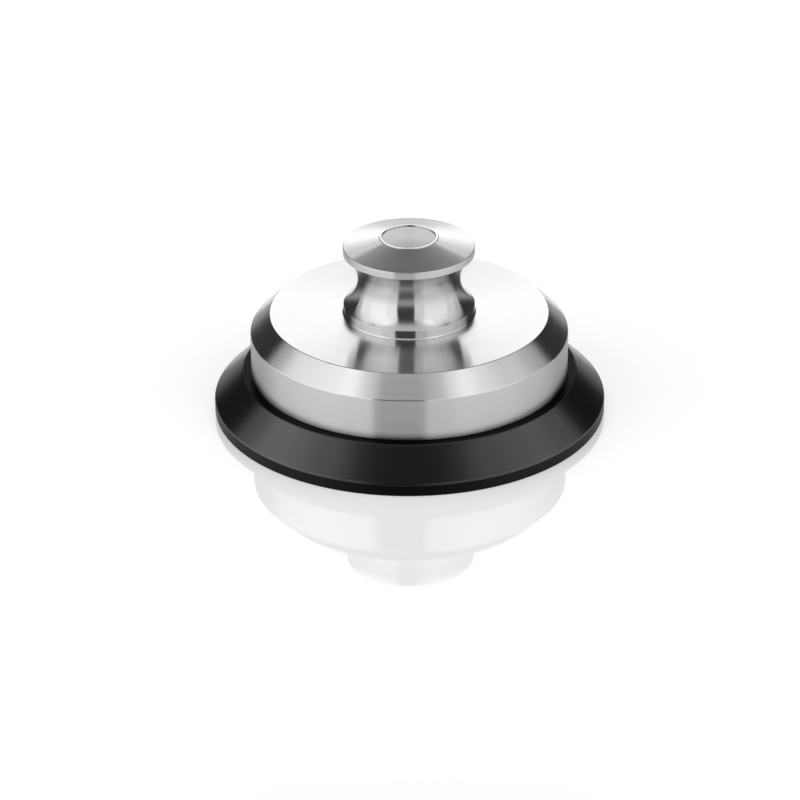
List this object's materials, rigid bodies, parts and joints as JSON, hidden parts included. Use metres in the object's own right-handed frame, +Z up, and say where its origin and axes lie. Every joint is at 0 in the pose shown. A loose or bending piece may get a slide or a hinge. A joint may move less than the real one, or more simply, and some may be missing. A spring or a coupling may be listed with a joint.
{
  "type": "record weight clamp",
  "caption": "Round record weight: chamfered stainless steel disc with an hourglass finger knob and a blank badge, on a sloped black plastic base with a central spindle bore.",
  "frame": {"origin": "centre of the flat underside that lies on the record", "axes": "+Z up along the spindle axis, from the underside to the knob"},
  "size_m": [0.1, 0.1, 0.0471],
  "materials": {
    "stainless": "fine turned, satin",
    "acetal": "turned, satin",
    "badge": "grey anodised field with a bright lip",
    "fasteners": "plain stainless, as formed"
  },
  "bodies": {
    "root": {"base_plate": "acetal", "weight_disc": "stainless", "knob": "stainless", "badge": "badge", "spindle_bush": "acetal", "knob_stud": "fasteners", "base_screws": "fasteners"}
  },
  "joints": []
}
